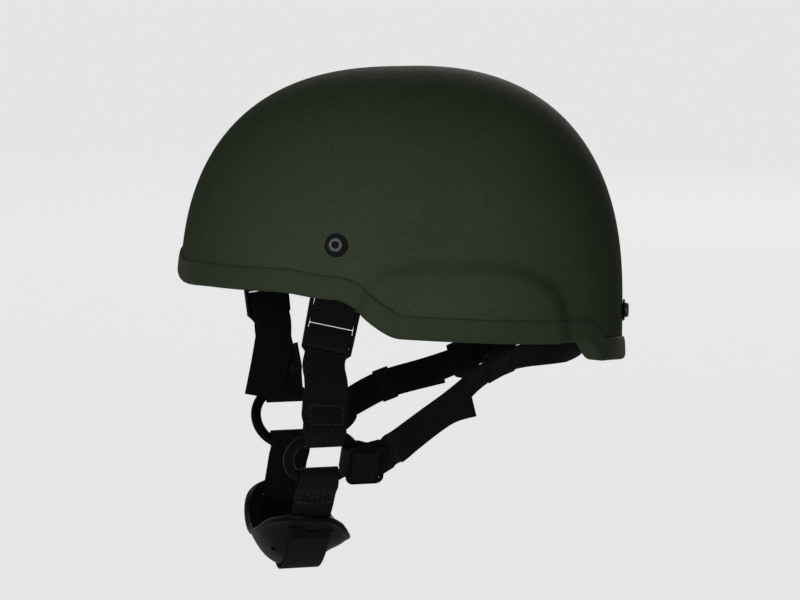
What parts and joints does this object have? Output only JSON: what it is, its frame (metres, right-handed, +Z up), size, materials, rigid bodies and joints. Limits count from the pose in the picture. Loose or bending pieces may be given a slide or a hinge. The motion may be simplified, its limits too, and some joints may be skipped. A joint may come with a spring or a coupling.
{
  "type": "combat helmet",
  "caption": "Hard pressed shell with edge trim, screwed side and rear mounts, fit pads and a webbing harness with rings, adjusters and a chin cup.",
  "frame": {"origin": "where the crown of the head meets the crown pad", "axes": "+Z up through the crown, -Y to the front, +X to the wearer's left"},
  "size_m": [0.2546, 0.2811, 0.3182],
  "materials": {
    "shell_green": "matte grit paint over pressed aramid",
    "trim_green": "matte",
    "black_steel": "black coated",
    "black_plastic": "satin",
    "webbing": "woven",
    "elastic": "ribbed",
    "pad_cloth": "brushed",
    "hook_tape": "hook tape",
    "cup_rubber": "satin moulded"
  },
  "bodies": {
    "shell_body": {"shell": "shell_green", "edge_trim": "trim_green", "left_side_screw": "black_steel", "right_side_screw": "black_steel", "rear_screws": "black_steel", "screw_washers": "black_plastic", "side_post_nuts": "black_steel", "rear_post_nuts": "black_steel", "left_hanger": "webbing", "right_hanger": "webbing", "left_rear_strap": "webbing", "right_rear_strap": "webbing", "nape_strap": "webbing", "crown_pad": "pad_cloth", "front_pad": "pad_cloth", "rear_pad": "pad_cloth", "left_front_pad": "pad_cloth", "right_front_pad": "pad_cloth", "left_rear_pad": "pad_cloth", "right_rear_pad": "pad_cloth", "hook_discs": "hook_tape"},
    "harness": {"left_front_strap": "webbing", "right_front_strap": "webbing", "chin_strap": "webbing", "strap_keeper": "elastic"},
    "left_adjuster_body": {"left_adjuster": "black_plastic"},
    "right_adjuster_body": {"right_adjuster": "black_plastic"},
    "left_ring_body": {"left_ring": "black_plastic"},
    "right_ring_body": {"right_ring": "black_plastic"},
    "left_slider_body": {"left_slider": "black_plastic"},
    "right_slider_body": {"right_slider": "black_plastic"},
    "chin_cup_body": {"chin_cup": "cup_rubber"}
  },
  "joints": [
    {"name": "harness_swing", "type": "hinge", "parent": "shell_body", "child": "harness", "pos_m": [0, -0.06664, -0.0672], "axis": [1, 0, 0], "range_deg": [0, 15], "deforming": ["left_hanger", "right_hanger", "left_rear_strap", "right_rear_strap"]},
    {"name": "left_adjuster_slide", "type": "slide", "parent": "harness", "child": "left_adjuster_body", "axis": [-0.1073, -0.0345, -0.9936], "range_m": [-0.003, 0.003], "deforming": ["left_hanger", "left_front_strap"]},
    {"name": "right_adjuster_slide", "type": "slide", "parent": "harness", "child": "right_adjuster_body", "axis": [0.0536, 0.1592, -0.9858], "range_m": [-0.003, 0.003], "deforming": ["right_hanger", "right_front_strap"]},
    {"name": "left_ring_turn", "type": "hinge", "parent": "harness", "child": "left_ring_body", "pos_m": [0.07181, -0.06984, -0.2012], "axis": [0.8387, 0, -0.5446], "continuous": true},
    {"name": "right_ring_turn", "type": "hinge", "parent": "harness", "child": "right_ring_body", "pos_m": [-0.07181, -0.06394, -0.2032], "axis": [-0.8387, 0, -0.5446], "continuous": true},
    {"name": "left_slider_slide", "type": "slide", "parent": "harness", "child": "left_slider_body", "axis": [0, 1, 0], "range_m": [0, 0.003], "deforming": ["left_rear_strap"]},
    {"name": "right_slider_slide", "type": "slide", "parent": "harness", "child": "right_slider_body", "axis": [0, 1, 0], "range_m": [0, 0.003], "deforming": ["right_rear_strap"]},
    {"name": "chin_cup_slide", "type": "slide", "parent": "harness", "child": "chin_cup_body", "axis": [1, 0, 0], "range_m": [-0.008, 0.008], "deforming": ["chin_strap"]}
  ]
}
